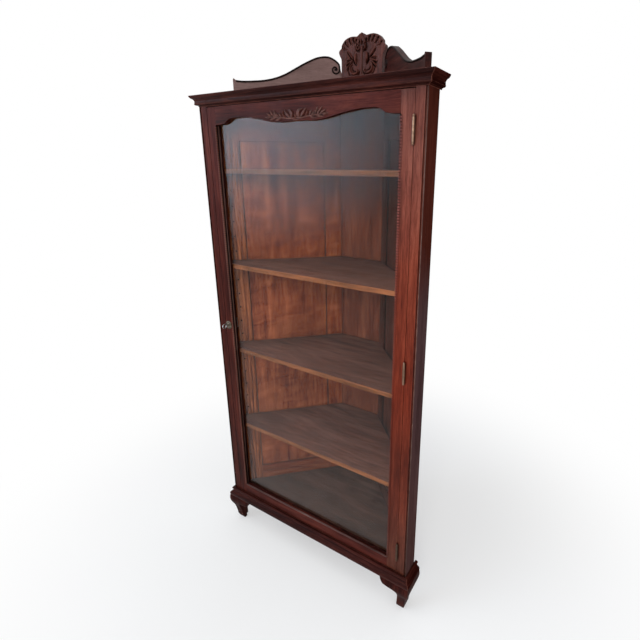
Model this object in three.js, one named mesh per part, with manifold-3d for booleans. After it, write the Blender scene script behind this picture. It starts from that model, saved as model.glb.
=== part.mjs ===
import * as THREE from 'three';
import { mergeVertices } from 'three/addons/utils/BufferGeometryUtils.js';
import Module from 'manifold-3d';

// Glazed corner curio cabinet. Millimetres: X is the width, Y the depth behind the front plane, Z the height.

const wasm = await Module();
wasm.setup();

// Plan of the body: straight front, short square returns, slanted back walls and a narrow flat back
const bodyWidth = 906;
const boardThickness = 20;
const returnDepth = 67;
const flatBackWidth = 198;
const halfWidth = bodyWidth / 2;
const wallStep = boardThickness * Math.SQRT2;
const innerHalf = halfWidth - boardThickness;
const innerCornerY = returnDepth;
const slantReach = innerHalf + returnDepth;
const outerCornerY = slantReach + wallStep - halfWidth;
const backHalf = flatBackWidth / 2;
const backInnerY = slantReach - backHalf;
const backOuterY = backInnerY + boardThickness;
const backOuterHalf = slantReach + wallStep - backOuterY;
const seamGap = 0.3;

// Heights
const apronBottom = 134;
const floorTop = 174;
const bodyTop = 1870;
const topThickness = 18;
const topSurface = bodyTop + topThickness;
const topRailHeight = 20;
const corniceBottom = bodyTop - topRailHeight;
const bottomThickness = 18;

// Front frame
const frontStileWidth = 38;
const frontThickness = 24;
const grooveWidth = 5;
const grooveDepth = 3.5;
const grooveSlopeShare = 0.2;
const cornerBeadWidth = 4;
const cornerBeadSteps = 6;
const openingHalf = halfWidth - frontStileWidth;

// Mouldings
const returnRearY = 88;
const corniceReach = 24.7;
const corniceHeight = topSurface - corniceBottom;
const corniceShares = [[0.1, 0.13], [0.39, 0.165], [0.5, 0.25], [0.45, 0.34], [0.43, 0.52], [0.54, 0.645],
  [0.64, 0.7], [0.82, 0.763], [0.93, 0.85], [1, 0.945], [1, 1]];
const baseReach = 19.6;
const baseHeight = floorTop - apronBottom;
const baseShares = [[0.94, 0], [1, 0.14], [1, 0.27], [0.88, 0.38], [0.56, 0.47], [0.38, 0.6], [0.36, 0.72],
  [0.52, 0.76], [0.57, 0.85], [0.52, 0.95], [0.4, 1]];

// Bracket feet
const footReach = 21;
const footShares = [[-0.51, 0], [-0.29, 0.047], [-0.06, 0.15], [-0.03, 0.24], [0.08, 0.34], [0.15, 0.41],
  [0.34, 0.53], [0.62, 0.62], [0.83, 0.705], [0.95, 0.775], [1, 0.843], [0.98, 0.93], [0.88, 1]];
const bracketLength = 101;
const bracketOpenShares = [[0, 1], [0.03, 0.94], [0.09, 0.85], [0.15, 0.8], [0.24, 0.783], [0.4, 0.765],
  [0.56, 0.742], [0.67, 0.715], [0.72, 0.68], [0.715, 0.55], [0.675, 0.31], [0.63, 0]];
const sideOpenShares = [[1, 0.858], [0.9, 0.72], [0.72, 0.49], [0.53, 0.31], [0.48, 0.19], [0.49, 0]];
const bracketThickness = 24;
const rearFootWidth = 150;
const rearFootShares = [[0.5, 1], [0.49, 0.85], [0.42, 0.72], [0.3, 0.66], [0.24, 0.5], [0.22, 0]];

// Slanted back walls: frame and panel
const wallStileWidth = 70;
const wallTopRailHeight = 130;
const wallBottomRailHeight = 110;
const wallTopRailBottom = bodyTop - wallTopRailHeight;
const wallBottomRailTop = apronBottom + wallBottomRailHeight;
const wallPanelThickness = 10;
const wallPanelRecess = 5;
const pinHoleRadius = 3.3;
const pinHoleDepth = 9;
const pinHoleInset = 28;
const pinHoleLowMargin = 342;
const pinHoleHighMargin = 126;
const pinHoleCount = 19;
const pinHoleFirst = floorTop + pinHoleLowMargin;
const pinHolePitch = (wallTopRailBottom - pinHoleHighMargin - pinHoleFirst) / (pinHoleCount - 1);

// Shelves and their pins
const shelfThickness = 18;
const shelfFrontY = 27;
const shelfClearance = 1.5;
const shelfHoleSteps = [0, 6, 12, 18];
const pinShankRadius = 3;
const pinShankLength = 8;
const pinCollarRadius = 5;
const pinCollarThickness = 1.5;
const pinPegRadius = 4;
const pinPegLength = 11;
const restGap = 0.1;

// Door
const doorGap = 1;
const doorClearanceBelow = 3.5;
const doorClearanceAbove = 2;
const doorBottom = floorTop + doorClearanceBelow;
const doorTop = corniceBottom - doorClearanceAbove;
const doorThickness = 24;
const doorStileWidth = 42;
const doorRailHeight = 45.1;
const rebateWidth = 8;
const rebateFaceY = 14;
const glassThickness = 3;
const glassFit = 0.5;
const doorHalf = openingHalf - doorGap;
const glassHalf = doorHalf - doorStileWidth;
const rebateHalf = glassHalf + rebateWidth;
const glassBottom = doorBottom + doorRailHeight;
const rebateBottom = glassBottom - rebateWidth;
const doorTopRailHeight = 65;
const archRise = 25.5;
const rebateRailHeight = 31;
const archLow = doorTop - doorTopRailHeight;
const rebateTop = doorTop - rebateRailHeight;
const beadTop = rebateTop - rebateWidth;
const archShares = [[1, 0.16], [0.915, 0.23], [0.875, 0.36], [0.845, 0.62], [0.815, 0.86], [0.75, 0.97],
  [0.63, 0.94], [0.48, 0.64], [0.35, 0.29], [0.27, 0.11], [0.17, 0.02], [0.06, 0.12], [0, 0.24]];

// Carved spray on the door's top rail
const sprayHalf = 130;
const sprayLift = 9;
const sprayBottom = archLow + sprayLift;
const sprayRise = 30;
const sprayRelief = 4;
const sprayShares = [[0, 0.06], [0.1, 0], [0.2, 0.12], [0.27, 0.02], [0.36, 0.16], [0.46, 0.1], [0.54, 0.3],
  [0.68, 0.3], [0.76, 0.5], [0.88, 0.6], [1, 0.8], [0.9, 0.84], [0.78, 0.8], [0.66, 0.95], [0.5, 0.9],
  [0.38, 1], [0.26, 0.82], [0.14, 0.9], [0.06, 0.66], [0, 0.74]];

// Gallery boards and crest
const galleryFrontInset = 45;
const galleryRearInset = 4;
const galleryFront = innerHalf - galleryFrontInset;
const galleryRear = backHalf - galleryRearInset;
const galleryRise = 165;
const galleryShares = [[0, 0.4], [0.006, 0.4375], [0.028, 0.398], [0.09, 0.392], [0.2, 0.411], [0.285, 0.437],
  [0.377, 0.492], [0.47, 0.585], [0.56, 0.71], [0.655, 0.841], [0.75, 0.951], [0.812, 0.991], [0.852, 1],
  [0.89, 0.99], [0.935, 0.942], [0.965, 0.888], [0.983, 0.831], [0.987, 0.761], [0.992, 0.7], [1, 0.65]];
const crestHalf = 102;
const crestRise = 236;
const crestOverhang = 5;
const crestFrontY = backInnerY - crestOverhang;
const crestThickness = 22;
const crestShares = [[0.885, 0], [0.885, 0.62], [0.9, 0.665], [0.96, 0.71], [1, 0.758], [0.97, 0.79],
  [0.89, 0.813], [0.875, 0.856], [0.82, 0.886], [0.725, 0.928], [0.55, 0.956], [0.39, 0.962], [0.2, 0.953],
  [0.12, 0.975], [0, 1]];

// Hinges
const hingeShares = [0.058, 0.498, 0.937];
const hingeHeights = hingeShares.map((share) => doorBottom + share * (doorTop - doorBottom));
const hingeNames = ['bottom', 'middle', 'top'];
const hingeOffsetY = 5.5;
const knuckleRadius = 4;
const knuckleNeckShare = 0.75;
const leafHalf = 32;
const middleKnuckleHalf = 10.7;
const knuckleGap = 0.3;
const leafThickness = 2;
const leafRearY = 18;
const leafFrontY = -1;
const leafFit = 0.1;
const pinRadius = 1.8;
const pinFit = 0.05;
const finialLength = 9;
const finialShares = [0.2, 0.5, 0.8];

// Lock
const lockInset = 17;
const lockShare = 0.5;
const lockX = lockInset - doorHalf;
const lockZ = doorBottom + lockShare * (doorTop - doorBottom);
const rosetteRadius = 17;
const rosetteRelief = 3.4;
const rosetteShares = [[1, 0.35], [0.8, 0.75], [0.55, 0.6], [0.38, 1]];
const boreRadius = 3.2;
const lockCaseWidth = 31;
const lockCaseInset = 1;
const lockCaseBelow = 17;
const lockCaseEdgeX = lockCaseInset - doorHalf;
const lockCaseBottom = lockZ - lockCaseBelow;
const lockCaseHeight = 42;
const lockCaseDepth = 12.5;
const lockPlate = 1.5;
const boltHeight = 12;
const boltThickness = 4;
const boltLength = 26;
const boltLift = 5.5;
const boltBottom = lockZ + boltLift;
const boltFit = 0.5;
const keyRadius = 2.4;
const keyFrontY = -33;
const keyBowRadius = 10.5;
const keyBowWall = 3.4;
const keyBowThickness = 2.6;
const keyBitLength = 9;
const keyBitThickness = 3;

// Drawing resolution
const roundSides = 16;
const smallRoundSides = 12;
const curveSteps = 30;

// Finishes
function finish(name, color, roughness, metalness) {
  return new THREE.MeshStandardMaterial({ name, color, roughness, metalness });
}
const mahogany = finish('mahogany', 0x6b3426, 0.38, 0);
const oak = finish('oak', 0x96683f, 0.5, 0);
const glass = finish('glass', 0xdfe8ea, 0.05, 0);
glass.transparent = true;
glass.opacity = 0.3;
const brass = finish('brass', 0xa8824e, 0.35, 1);
const steel = finish('steel', 0x8d8c88, 0.4, 1);

const cabinet = new THREE.Group();
cabinet.name = 'corner_curio_cabinet';

// Shared helpers

function place(name, geometry, material) {
  const mesh = new THREE.Mesh(geometry, material);
  mesh.name = name;
  cabinet.add(mesh);
}

function extruded(points, depth) {
  const shape = new THREE.Shape(points.map(([a, b]) => new THREE.Vector2(a, b)));
  return new THREE.ExtrudeGeometry(shape, { depth, bevelEnabled: false });
}

// Outline in X and Y, drawn up from one height to another
function slab(points, low, high) {
  return extruded(points, high - low).translate(0, 0, low);
}

// Outline in X and Z, drawn from one depth to another
function upright(points, front, rear) {
  const turn = new THREE.Matrix4().set(1, 0, 0, 0, 0, 0, -1, rear, 0, 1, 0, 0, 0, 0, 0, 1);
  return extruded(points, rear - front).applyMatrix4(turn);
}

// Outline in Y and Z, drawn from one side to the other
function lengthwise(points, left, right) {
  const turn = new THREE.Matrix4().set(0, 0, 1, left, 1, 0, 0, 0, 0, 1, 0, 0, 0, 0, 0, 1);
  return extruded(points, right - left).applyMatrix4(turn);
}

function block([left, right], [front, rear], [low, high]) {
  return slab([[left, front], [right, front], [right, rear], [left, rear]], low, high);
}

function solid(geometry) {
  const bare = geometry.clone();
  bare.deleteAttribute('normal');
  bare.deleteAttribute('uv');
  const merged = mergeVertices(bare);
  const vertProperties = new Float32Array(merged.attributes.position.array);
  const triVerts = new Uint32Array(merged.index.array);
  return new wasm.Manifold(new wasm.Mesh({ numProp: 3, vertProperties, triVerts }));
}

function surface(body) {
  const mesh = body.getMesh();
  const geometry = new THREE.BufferGeometry();
  geometry.setAttribute('position', new THREE.BufferAttribute(mesh.vertProperties, 3));
  geometry.setIndex(new THREE.BufferAttribute(mesh.triVerts, 1));
  const drawn = geometry.toNonIndexed();
  drawn.computeVertexNormals();
  return drawn;
}

function cut(base, ...tools) {
  return surface(tools.reduce((body, tool) => body.subtract(solid(tool)), solid(base)));
}

function join(first, ...others) {
  return surface(others.reduce((body, other) => body.add(solid(other)), solid(first)));
}

function common(first, second) {
  return surface(solid(first).intersect(solid(second)));
}

// The same solid on the other side of the middle plane
function mirrored(geometry) {
  const flat = geometry.index ? geometry.toNonIndexed() : geometry.clone();
  const from = flat.attributes.position;
  const positions = new Float32Array(from.array.length);
  for (let corner = 0; corner < from.count; corner += 3) {
    [0, 2, 1].forEach((pick, step) => {
      positions[(corner + step) * 3] = -from.getX(corner + pick);
      positions[(corner + step) * 3 + 1] = from.getY(corner + pick);
      positions[(corner + step) * 3 + 2] = from.getZ(corner + pick);
    });
  }
  const result = new THREE.BufferGeometry();
  result.setAttribute('position', new THREE.BufferAttribute(positions, 3));
  result.computeVertexNormals();
  return result;
}

function placePair(name, geometry, material) {
  place(`${name}_right`, geometry, material);
  place(`${name}_left`, mirrored(geometry), material);
}

function scaledShares(shares, across, up, low) {
  return shares.map(([a, b]) => [a * across, low + b * up]);
}

function smooth(points, steps) {
  const curve = new THREE.SplineCurve(points.map(([a, b]) => new THREE.Vector2(a, b)));
  return curve.getPoints(steps).map((point) => [point.x, point.y]);
}

// A body between two like sections, each a list of points in space
function loft(profile, first, last) {
  const count = profile.length;
  const caps = THREE.ShapeUtils.triangulateShape(profile.map(([a, b]) => new THREE.Vector2(a, b)), []);
  const index = [];
  caps.forEach(([a, b, c]) => index.push(c, b, a, a + count, b + count, c + count));
  profile.forEach((_, here) => {
    const next = (here + 1) % count;
    index.push(here, next, next + count, here, next + count, here + count);
  });
  const geometry = new THREE.BufferGeometry();
  const corners = [...first, ...last].flat();
  geometry.setAttribute('position', new THREE.BufferAttribute(new Float32Array(corners), 3));
  geometry.setIndex(index);
  const drawn = geometry.toNonIndexed();
  drawn.computeVertexNormals();
  return drawn;
}

function cylinder(radius, low, high, sides) {
  const body = new THREE.CylinderGeometry(radius, radius, high - low, sides);
  const turn = new THREE.Matrix4().set(1, 0, 0, 0, 0, 0, -1, 0, 0, 1, 0, (low + high) / 2, 0, 0, 0, 1);
  return body.applyMatrix4(turn);
}

// A round bar along Y
function bar(radius, x, z, front, rear, sides) {
  const body = new THREE.CylinderGeometry(radius, radius, rear - front, sides);
  return body.translate(x, (front + rear) / 2, z);
}

// Body boards

function sideBoard() {
  return slab([
    [innerHalf, frontThickness],
    [halfWidth, frontThickness],
    [halfWidth, outerCornerY],
    [innerHalf, innerCornerY],
  ], apronBottom, bodyTop);
}

function frontStile() {
  const grooveStart = halfWidth - cornerBeadWidth - grooveWidth;
  const beadStart = halfWidth - cornerBeadWidth;
  const beadRadius = cornerBeadWidth / 2;
  const bead = [];
  for (let step = 0; step <= cornerBeadSteps; step += 1) {
    const angle = Math.PI - (Math.PI * step) / cornerBeadSteps;
    const beadX = beadStart + beadRadius + beadRadius * Math.cos(angle);
    bead.push([beadX, beadRadius - beadRadius * Math.sin(angle)]);
  }
  return slab([
    [openingHalf, 0],
    [grooveStart, 0],
    [grooveStart + grooveWidth * grooveSlopeShare, grooveDepth],
    [beadStart, grooveDepth],
    ...bead,
    [halfWidth, frontThickness],
    [openingHalf, frontThickness],
  ], apronBottom, bodyTop);
}

function hingeMortise(height) {
  const half = leafHalf + leafFit;
  return block(
    [openingHalf - leafThickness, openingHalf + leafThickness],
    [leafFrontY - leafThickness, leafRearY + leafFit],
    [height - half, height + half],
  );
}

placePair('side_board', sideBoard(), mahogany);
place('front_stile_right', cut(frontStile(), ...hingeHeights.map(hingeMortise)), mahogany);
place('front_stile_left', mirrored(frontStile()), mahogany);
const openingSpan = [-openingHalf, openingHalf];
place('front_top_rail', block(openingSpan, [0, frontThickness], [corniceBottom, bodyTop]), mahogany);
place('front_bottom_rail', block(openingSpan, [0, frontThickness], [apronBottom, floorTop]), mahogany);

const topOutline = [
  [-halfWidth, 0],
  [halfWidth, 0],
  [halfWidth, outerCornerY],
  [backOuterHalf, backOuterY],
  [-backOuterHalf, backOuterY],
  [-halfWidth, outerCornerY],
];
place('top_board', slab(topOutline, bodyTop, topSurface), mahogany);

function insidePlan(clearance, front, rear) {
  const half = innerHalf - clearance;
  const reach = slantReach - clearance * Math.SQRT2;
  return [
    [-half, front],
    [half, front],
    [half, reach - half],
    [reach - rear, rear],
    [rear - reach, rear],
    [-half, reach - half],
  ];
}
const bottomPlan = insidePlan(seamGap, frontThickness, backInnerY - seamGap);
place('bottom_board', slab(bottomPlan, floorTop - bottomThickness, floorTop), oak);

// Slanted back walls. A place along the wall is measured from the side board towards the flat back

const wallLength = (innerHalf - backHalf) * Math.SQRT2;

function wallPoint(along, out) {
  const step = along / Math.SQRT2;
  const push = out / Math.SQRT2;
  return [innerHalf - step + push, innerCornerY + step + push];
}

function wallPiece(from, to, inside, outside, low, high) {
  return slab([
    wallPoint(from, inside),
    wallPoint(from, outside),
    wallPoint(to, outside),
    wallPoint(to, inside),
  ], low, high);
}

function wallFrontStile() {
  const plan = [
    [innerHalf - seamGap, innerCornerY + seamGap],
    [halfWidth - seamGap, outerCornerY + seamGap],
    wallPoint(wallStileWidth, boardThickness),
    wallPoint(wallStileWidth, 0),
  ];
  const post = slab(plan, apronBottom, bodyTop);
  const holes = [];
  for (let hole = 0; hole < pinHoleCount; hole += 1) {
    holes.push(onWall(new THREE.CylinderGeometry(
      pinHoleRadius,
      pinHoleRadius,
      pinHoleDepth * 2,
      smallRoundSides,
    ), pinHoleInset, pinHoleFirst + hole * pinHolePitch));
  }
  return cut(post, ...holes);
}

// Turns a body drawn along Y so that Y runs out through the wall at a place on its inner face
function onWall(body, along, height) {
  const [x, y] = wallPoint(along, 0);
  return body.rotateZ(-Math.PI / 4).translate(x, y, height);
}

function wallRearStile() {
  const plan = [
    wallPoint(wallLength - wallStileWidth, 0),
    wallPoint(wallLength - wallStileWidth, boardThickness),
    [backOuterHalf + seamGap, backOuterY - seamGap],
    [backHalf + seamGap, backInnerY - seamGap],
  ];
  return slab(plan, apronBottom, bodyTop);
}

const railFrom = wallStileWidth + seamGap;
const railTo = wallLength - wallStileWidth - seamGap;
placePair('wall_front_stile', wallFrontStile(), oak);
placePair('wall_rear_stile', wallRearStile(), oak);
function wallRail(low, high) {
  return wallPiece(railFrom, railTo, 0, boardThickness, low, high);
}
placePair('wall_top_rail', wallRail(wallTopRailBottom, bodyTop), oak);
placePair('wall_bottom_rail', wallRail(apronBottom, wallBottomRailTop), oak);
placePair('wall_panel', wallPiece(
  railFrom,
  railTo,
  wallPanelRecess,
  wallPanelRecess + wallPanelThickness,
  wallBottomRailTop,
  wallTopRailBottom,
), oak);
place('back_board', slab([
  [backHalf, backInnerY],
  [backOuterHalf, backOuterY],
  [-backOuterHalf, backOuterY],
  [-backHalf, backInnerY],
], apronBottom, bodyTop), oak);

// Cornice and base mouldings, mitred at the front corners and cut square behind the returns

function mouldingSet(name, profile) {
  const front = profile.map(([out, z]) => [halfWidth + out, -out, z]);
  const frontEnd = profile.map(([out, z]) => [-halfWidth - out, -out, z]);
  const rear = profile.map(([out, z]) => [halfWidth + out, returnRearY, z]);
  place(`${name}_front`, loft(profile, front, frontEnd), mahogany);
  placePair(`${name}_return`, loft(profile, rear, front), mahogany);
}

mouldingSet('cornice', [
  [0, corniceBottom],
  ...scaledShares(corniceShares, corniceReach, corniceHeight, corniceBottom),
  [0, topSurface],
]);
mouldingSet('base_moulding', [
  [0, apronBottom],
  ...scaledShares(baseShares, baseReach, baseHeight, apronBottom),
  [0, floorTop],
]);

// Bracket feet

function frontFoot() {
  const face = scaledShares(footShares, footReach, apronBottom, 0);
  const innerX = halfWidth - bracketLength;
  const beyond = footReach * 2;
  const frontProfile = [
    ...face.map(([out, z]) => [-out, z]),
    [returnRearY, apronBottom],
    [returnRearY, 0],
  ].reverse();
  const sideProfile = [
    ...face.map(([out, z]) => [halfWidth + out, z]),
    [innerX, apronBottom],
    [innerX, 0],
  ];
  const corner = common(
    lengthwise(frontProfile, innerX - beyond, halfWidth + beyond),
    upright(sideProfile, -beyond, returnRearY),
  );
  const hollow = block(
    [innerX - beyond, halfWidth - bracketThickness],
    [bracketThickness, returnRearY + beyond],
    [-beyond, apronBottom + beyond],
  );
  const frontOpen = [
    ...scaledShares(bracketOpenShares, bracketLength, apronBottom, 0).map(([a, z]) => [innerX + a, z]),
    [innerX + bracketLength * bracketOpenShares.at(-1)[0], -beyond],
    [innerX - beyond, -beyond],
    [innerX - beyond, apronBottom],
  ];
  const sideOpen = [
    ...scaledShares(sideOpenShares, returnRearY, apronBottom, 0),
    [returnRearY * sideOpenShares.at(-1)[0], -beyond],
    [returnRearY + beyond, -beyond],
    [returnRearY + beyond, apronBottom * sideOpenShares[0][1]],
  ];
  return cut(
    corner,
    hollow,
    upright(frontOpen, -beyond, bracketThickness + footReach / 2),
    lengthwise(sideOpen, innerX - beyond, halfWidth + beyond),
  );
}

function rearFoot() {
  const half = scaledShares(rearFootShares, rearFootWidth, apronBottom, 0);
  const outline = [...half, ...half.map(([x, z]) => [-x, z]).reverse()];
  return upright(outline, backInnerY, backOuterY);
}

placePair('front_foot', frontFoot(), mahogany);
place('rear_foot', rearFoot(), mahogany);

// Shelves on pins

function shelfPin(hole) {
  const profile = [
    [0, -pinPegLength],
    [pinPegRadius, -pinPegLength],
    [pinPegRadius, -pinCollarThickness],
    [pinCollarRadius, -pinCollarThickness],
    [pinCollarRadius, 0],
    [pinShankRadius, 0],
    [pinShankRadius, pinShankLength],
    [0, pinShankLength],
  ].map(([radius, y]) => new THREE.Vector2(radius, y));
  const height = pinHoleFirst + hole * pinHolePitch;
  return onWall(new THREE.LatheGeometry(profile, smallRoundSides), pinHoleInset, height);
}

const shelfPlan = insidePlan(shelfClearance, shelfFrontY, backInnerY - shelfClearance);
shelfHoleSteps.forEach((hole, level) => {
  const underside = pinHoleFirst + hole * pinHolePitch + pinPegRadius + restGap;
  place(`shelf_${level + 1}`, slab(shelfPlan, underside, underside + shelfThickness), oak);
  placePair(`shelf_pin_${level + 1}`, shelfPin(hole), brass);
});

// Gallery boards along the slanted walls, and the crest between them

function galleryBoard() {
  const run = (galleryFront - galleryRear) * Math.SQRT2;
  const start = (innerHalf - galleryFront) * Math.SQRT2;
  const edge = smooth(scaledShares(galleryShares, run, galleryRise, 0), curveSteps);
  const outline = [[0, 0], ...edge, [run, 0]].map(([along, z]) => [-along, z]);
  const [x, y] = wallPoint(start, 0);
  const turn = new THREE.Matrix4().set(
    Math.SQRT1_2, Math.SQRT1_2, 0, x,
    -Math.SQRT1_2, Math.SQRT1_2, 0, y,
    0, 0, 1, topSurface,
    0, 0, 0, 1,
  );
  return upright(outline, 0, boardThickness).applyMatrix4(turn);
}

function crest() {
  const half = scaledShares(crestShares, crestHalf, crestRise, topSurface);
  const foot = half[0];
  const edge = [foot, ...smooth(half.slice(1), curveSteps)];
  const outline = [...edge, ...edge.slice(0, -1).map(([x, z]) => [-x, z]).reverse()];
  return upright(outline, crestFrontY, crestFrontY + crestThickness);
}

placePair('gallery', galleryBoard(), mahogany);
place('crest', crest(), mahogany);

// Door frame: stiles run the full height and the rails fit between them, all rebated behind for the glass

function doorStile() {
  return slab([
    [glassHalf, 0],
    [doorHalf, 0],
    [doorHalf, doorThickness],
    [rebateHalf, doorThickness],
    [rebateHalf, rebateFaceY],
    [glassHalf, rebateFaceY],
  ], doorBottom, doorTop);
}

function doorTopRail() {
  const half = smooth(scaledShares(archShares, glassHalf, archRise, archLow), curveSteps);
  const edge = [...half, ...half.slice(0, -1).map(([x, z]) => [-x, z]).reverse()];
  const face = upright([...edge, [-glassHalf, doorTop], [glassHalf, doorTop]].reverse(), 0, rebateFaceY);
  return join(face, block([-rebateHalf, rebateHalf], [rebateFaceY, doorThickness], [rebateTop, doorTop]));
}

function doorBottomRail() {
  return join(
    block([-glassHalf, glassHalf], [0, rebateFaceY], [doorBottom, glassBottom]),
    block([-rebateHalf, rebateHalf], [rebateFaceY, doorThickness], [doorBottom, rebateBottom]),
  );
}

function glazingBead() {
  const outer = rebateHalf - glassFit;
  const ring = block(
    [-outer, outer],
    [rebateFaceY + glassThickness, doorThickness],
    [rebateBottom + glassFit, rebateTop - glassFit],
  );
  const hole = block([-glassHalf, glassHalf], [0, doorThickness * 2], [glassBottom, beadTop]);
  return cut(ring, hole);
}

const lockBore = bar(boreRadius, lockX, lockZ, -doorThickness, doorThickness * 2, roundSides);
place('door_stile_right', cut(doorStile(), ...hingeHeights.map((height) => doorMortise(height))), mahogany);
place('door_stile_left', cut(mirrored(doorStile()), lockBore), mahogany);
place('door_top_rail', doorTopRail(), mahogany);
place('door_bottom_rail', doorBottomRail(), mahogany);
place('glazing_bead', glazingBead(), mahogany);
place('glass_pane', block(
  [glassFit - rebateHalf, rebateHalf - glassFit],
  [rebateFaceY, rebateFaceY + glassThickness],
  [rebateBottom + glassFit, rebateTop - glassFit],
), glass);

function doorMortise(height) {
  const half = leafHalf + leafFit;
  return block(
    [doorHalf - leafThickness, doorHalf + leafThickness],
    [leafFrontY - leafThickness, leafRearY + leafFit],
    [height - half, height + half],
  );
}

function doorSpray() {
  const half = scaledShares(sprayShares, sprayHalf, sprayRise, sprayBottom);
  const left = half.slice(1, -1).map(([x, z]) => [-x, z]).reverse();
  return upright([...half, ...left], -sprayRelief, 0);
}
place('door_carving', doorSpray(), mahogany);

// Butt hinges: the outer knuckles and the pin belong to the fixed leaf, the middle knuckle to the door's leaf

const hingeX = openingHalf - doorGap / 2;

function onHinge(body, height) {
  return body.translate(hingeX, -hingeOffsetY, height);
}

function frameLeaf(height) {
  const barrelHalf = leafHalf + finialLength;
  const split = middleKnuckleHalf + knuckleGap;
  const neck = knuckleRadius * knuckleNeckShare;
  const [tip, swell, waist] = finialShares.map((share) => finialLength * share - barrelHalf);
  const profile = [
    [0, -barrelHalf],
    [neck, tip],
    [knuckleRadius, swell],
    [neck, waist],
    [knuckleRadius, -leafHalf],
    [knuckleRadius, -split],
    [pinRadius, -split],
  ];
  const whole = [...profile, ...profile.map(([radius, z]) => [radius, -z]).reverse()];
  const outline = whole.map(([radius, z]) => new THREE.Vector2(radius, z));
  const turn = new THREE.Matrix4().set(1, 0, 0, 0, 0, 0, -1, 0, 0, 1, 0, 0, 0, 0, 0, 1);
  const barrel = new THREE.LatheGeometry(outline, roundSides);
  const leafSpan = [openingHalf, openingHalf + leafThickness];
  return join(
    onHinge(barrel.applyMatrix4(turn), height),
    block(leafSpan, [leafFrontY, leafRearY], [height - leafHalf, height + leafHalf]),
    block(leafSpan, [-hingeOffsetY, leafFrontY], [height - leafHalf, height - split]),
    block(leafSpan, [-hingeOffsetY, leafFrontY], [height + split, height + leafHalf]),
  );
}

function doorLeaf(height) {
  const leafSpan = [doorHalf - leafThickness, doorHalf];
  const low = height - middleKnuckleHalf;
  const high = height + middleKnuckleHalf;
  const leaf = join(
    onHinge(cylinder(knuckleRadius, -middleKnuckleHalf, middleKnuckleHalf, roundSides), height),
    block(leafSpan, [-hingeOffsetY, leafFrontY], [low, high]),
    block(leafSpan, [leafFrontY, leafRearY], [height - leafHalf, height + leafHalf]),
  );
  const eye = pinRadius + pinFit;
  return cut(leaf, onHinge(cylinder(eye, -middleKnuckleHalf * 2, middleKnuckleHalf * 2, roundSides), height));
}

hingeHeights.forEach((height, order) => {
  place(`hinge_frame_${hingeNames[order]}`, frameLeaf(height), brass);
  place(`hinge_door_${hingeNames[order]}`, doorLeaf(height), brass);
});

// Lock: rosette in front, case behind the stile, bolt that slides out behind the front stile, and its key

function rosette() {
  const profile = [
    [boreRadius, 0],
    [rosetteRadius, 0],
    ...scaledShares(rosetteShares, rosetteRadius, rosetteRelief, 0),
    [boreRadius, rosetteRelief],
    [boreRadius, 0],
  ].map(([radius, y]) => new THREE.Vector2(radius, y));
  const turned = new THREE.LatheGeometry(profile, roundSides * 2).rotateX(Math.PI);
  return turned.translate(lockX, 0, lockZ);
}

const caseSpan = [lockCaseEdgeX, lockCaseEdgeX + lockCaseWidth];
const caseFrontY = doorThickness;
const caseRearY = doorThickness + lockCaseDepth;
const caseTop = lockCaseBottom + lockCaseHeight;
const boltFrontY = caseFrontY + lockPlate + boltFit;

function lockCase() {
  const inner = block(
    [caseSpan[0] + lockPlate, caseSpan[1] - lockPlate],
    [caseFrontY + lockPlate, caseRearY - lockPlate],
    [lockCaseBottom + lockPlate, caseTop - lockPlate],
  );
  const slot = block(
    [caseSpan[0] - lockPlate, caseSpan[0] + lockPlate * 2],
    [boltFrontY - boltFit / 2, boltFrontY + boltThickness + boltFit / 2],
    [boltBottom - boltFit / 2, boltBottom + boltHeight + boltFit / 2],
  );
  const hole = bar(boreRadius, lockX, lockZ, 0, caseFrontY + lockPlate * 2, roundSides);
  return cut(block(caseSpan, [caseFrontY, caseRearY], [lockCaseBottom, caseTop]), inner, slot, hole);
}

function lockBolt() {
  return block(
    [lockCaseEdgeX, lockCaseEdgeX + boltLength],
    [boltFrontY, boltFrontY + boltThickness],
    [boltBottom, boltBottom + boltHeight],
  );
}

function key() {
  const bowY = keyFrontY + keyBowRadius;
  const bitFrontY = boltFrontY + boltThickness + boltFit;
  const tip = bitFrontY + keyBitThickness;
  const ring = new THREE.Shape().absarc(bowY, lockZ, keyBowRadius, 0, Math.PI * 2);
  ring.holes.push(new THREE.Path().absarc(bowY, lockZ, keyBowRadius - keyBowWall, 0, Math.PI * 2, true));
  const bowX = lockX - keyBowThickness / 2;
  const turn = new THREE.Matrix4().set(0, 0, 1, bowX, 1, 0, 0, 0, 0, 1, 0, 0, 0, 0, 0, 1);
  const bow = new THREE.ExtrudeGeometry(ring, {
    depth: keyBowThickness,
    bevelEnabled: false,
    curveSegments: roundSides,
  });
  return join(
    bow.applyMatrix4(turn),
    bar(keyRadius, lockX, lockZ, bowY + keyBowRadius - keyBowWall / 2, tip, roundSides),
    block([bowX, bowX + keyBowThickness], [bitFrontY, tip], [lockZ - keyBitLength, lockZ]),
  );
}

place('lock_rosette', rosette(), brass);
place('lock_case', lockCase(), steel);
place('lock_bolt', lockBolt(), brass);
place('key', key(), steel);

// The origin lies under the middle of the whole
cabinet.position.y = -(keyFrontY + backOuterY) / 2;

export default cabinet;
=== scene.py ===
import math

import bpy
import numpy as np
from mathutils import Matrix, Vector


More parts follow.
